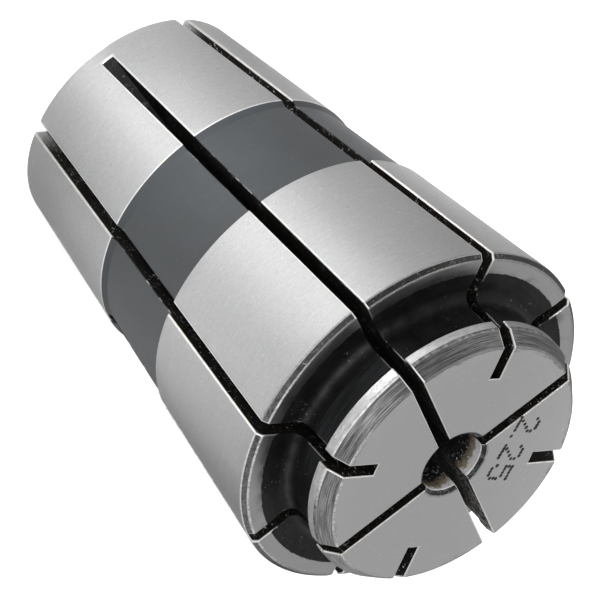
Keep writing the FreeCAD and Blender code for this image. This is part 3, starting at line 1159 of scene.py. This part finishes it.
# The floor, the light and the camera.
stage = {
    "floorRadius": 0.6,
    "floorSides": 96,
    "floorColour": 0.62,
    "floorGlow": 0.70,            # lifts the floor to white for the camera
    "worldLight": 0.39,
    "worldHorizon": 0.95,
    "worldTop": 0.45,
    "lamps": [
        # place in metres, width, power in watts
        ((0.283, 0.132, 0.281), 0.24, 0.42),
        ((0.05, -0.33, 0.20), 0.22, 0.12),
        ((-0.20, -0.04, 0.38), 0.26, 0.04),
    ],
    "pools": [
        # place, the spot of the floor it lights, cone in degrees and power in watts
        ((0.024, -0.0005, 0.25), (0.024, -0.0005, 0.0), 8.4, 7.4),
        ((0.197, 0.021, 0.161), (0.0074, -0.0006, 0.0), 2.7, 7.6),
        ((0.0100, 0.0152, 0.25), (0.0100, 0.0152, 0.0), 5.4, 5.1),
        ((-0.0030, 0.0178, 0.25), (-0.0030, 0.0178, 0.0), 5.0, 3.4),
        ((0.0105, -0.0143, 0.25), (0.0105, -0.0143, 0.0), 5.0, 2.8),
        ((-0.0103, -0.0130, 0.25), (-0.0103, -0.0130, 0.0), 6.2, 3.1),
        ((-0.0250, -0.0060, 0.25), (-0.0250, -0.0060, 0.0), 4.2, 2.6),
    ],
    "poolSource": 0.006,
}

camera = {
    "place": (0.19981914, 0.03631016, 0.15357609),
    "right": (-0.25838, -0.78815, 0.55863),
    "up": (0.53665, -0.59793, -0.59539),
    "lens": 459.28,
    "sensor": 36.0,
    "clip": (0.005, 10.0),
}


def buildFloor():
    bpy.ops.mesh.primitive_circle_add(
        vertices=stage["floorSides"], radius=stage["floorRadius"], fill_type="NGON")
    floor = bpy.context.object
    floor.name = "floor"
    material = bpy.data.materials.new("paleFloor")
    floor.data.materials.append(material)
    material.use_nodes = True
    tree = material.node_tree
    tree.nodes.clear()
    matte = addNode(tree, "BsdfDiffuse", {"Color": stage["floorColour"]})
    path = addNode(tree, "LightPath")
    strength = product(tree, path.outputs["Is Camera Ray"], stage["floorGlow"])
    glow = addNode(tree, "Emission", {"Color": 1.0, "Strength": strength})
    both = addNode(tree, "AddShader", {0: matte.outputs[0], 1: glow.outputs[0]})
    addNode(tree, "OutputMaterial", {"Surface": both.outputs[0]})


def buildWorld():
    world = bpy.data.worlds.new("softWhite")
    bpy.context.scene.world = world
    world.use_nodes = True
    tree = world.node_tree
    tree.nodes.clear()
    texture = addNode(tree, "TexCoord")
    split = addNode(tree, "SeparateXYZ", {0: texture.outputs["Generated"]})
    climb = spread(tree, split.outputs[2], 0.0, 0.9)
    path = addNode(tree, "LightPath")
    glossy, through = path.outputs["Is Glossy Ray"], path.outputs["Is Transmission Ray"]
    reflected = blendColours(tree, climb, stage["worldHorizon"], stage["worldTop"])
    mirrored = calculate(tree, "MAXIMUM", glossy, through)
    lit = blendColours(tree, mirrored, stage["worldLight"], reflected)
    shown = blendColours(tree, path.outputs["Is Camera Ray"], lit, 1.0)
    background = addNode(tree, "Background", {"Color": shown, "Strength": 1.0})
    addNode(tree, "OutputWorld", {"Surface": background.outputs[0]})


def hangLamp(name, kind, place, aim, power):
    lamp = bpy.data.lights.new(name, kind)
    lamp.energy = power
    holder = bpy.data.objects.new(name, lamp)
    bpy.context.scene.collection.objects.link(holder)
    turn = (Vector(aim) - Vector(place)).to_track_quat("-Z", "Y")
    holder.matrix_world = Matrix.Translation(place) @ turn.to_matrix().to_4x4()
    return lamp


def buildLamps():
    middle = (0, 0, collet["length"] * mm / 2)
    for number, (place, width, power) in enumerate(stage["lamps"]):
        lamp = hangLamp("softLamp%d" % number, "AREA", place, middle, power)
        lamp.size = width
    for number, (place, spot, cone, power) in enumerate(stage["pools"]):
        pool = hangLamp("poolLamp%d" % number, "SPOT", place, spot, power)
        pool.spot_size = math.radians(cone)
        pool.spot_blend = 1.0
        pool.shadow_soft_size = stage["poolSource"]


def buildCamera():
    view = bpy.data.cameras.new("view")
    view.lens = camera["lens"]
    view.sensor_width = camera["sensor"]
    view.clip_start, view.clip_end = camera["clip"]
    holder = bpy.data.objects.new("view", view)
    bpy.context.scene.collection.objects.link(holder)
    right, up = Vector(camera["right"]).normalized(), Vector(camera["up"]).normalized()
    back = right.cross(up)
    turn = Matrix((right, up, back)).transposed().to_4x4()
    holder.matrix_world = Matrix.Translation(camera["place"]) @ turn
    bpy.context.scene.camera = holder


deselectAll()
sector = buildSector()
print("sector: %d faces" % len(sector.data.polygons))
body = closeRing(sector)
body.name = "collet_body"
for name in zoneNames:
    body.data.materials.append(bpy.data.materials.new(name))
paintZones(body)
breakEdges(body)
paintEdges(body)
print("body: %d faces" % len(body.data.polygons))
for dots in digitDots():
    punchInto(body, dots, "dotMark")
punchInto(body, brightNicks, "softCorner")
punchInto(body, blackNicks, "grooveBlack")
print("number and nicks punched: %d faces" % len(body.data.polygons))

makeActive(body)
bpy.ops.object.shade_smooth_by_angle(angle=math.radians(collet["smoothAngle"]))
applyModifier(body, "WEIGHTED_NORMAL", mode="FACE_AREA", weight=60, keep_sharp=True)
body.scale = (mm, mm, mm)
bpy.ops.object.transform_apply(location=True, rotation=True, scale=True)
for finish in finishes:
    finish()
print("%d finishes made" % len(finishes))

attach(body, "root")
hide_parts(colletNode)

buildFloor()
buildWorld()
buildLamps()
buildCamera()
bpy.context.scene.view_settings.view_transform = "Standard"
print("stage set")
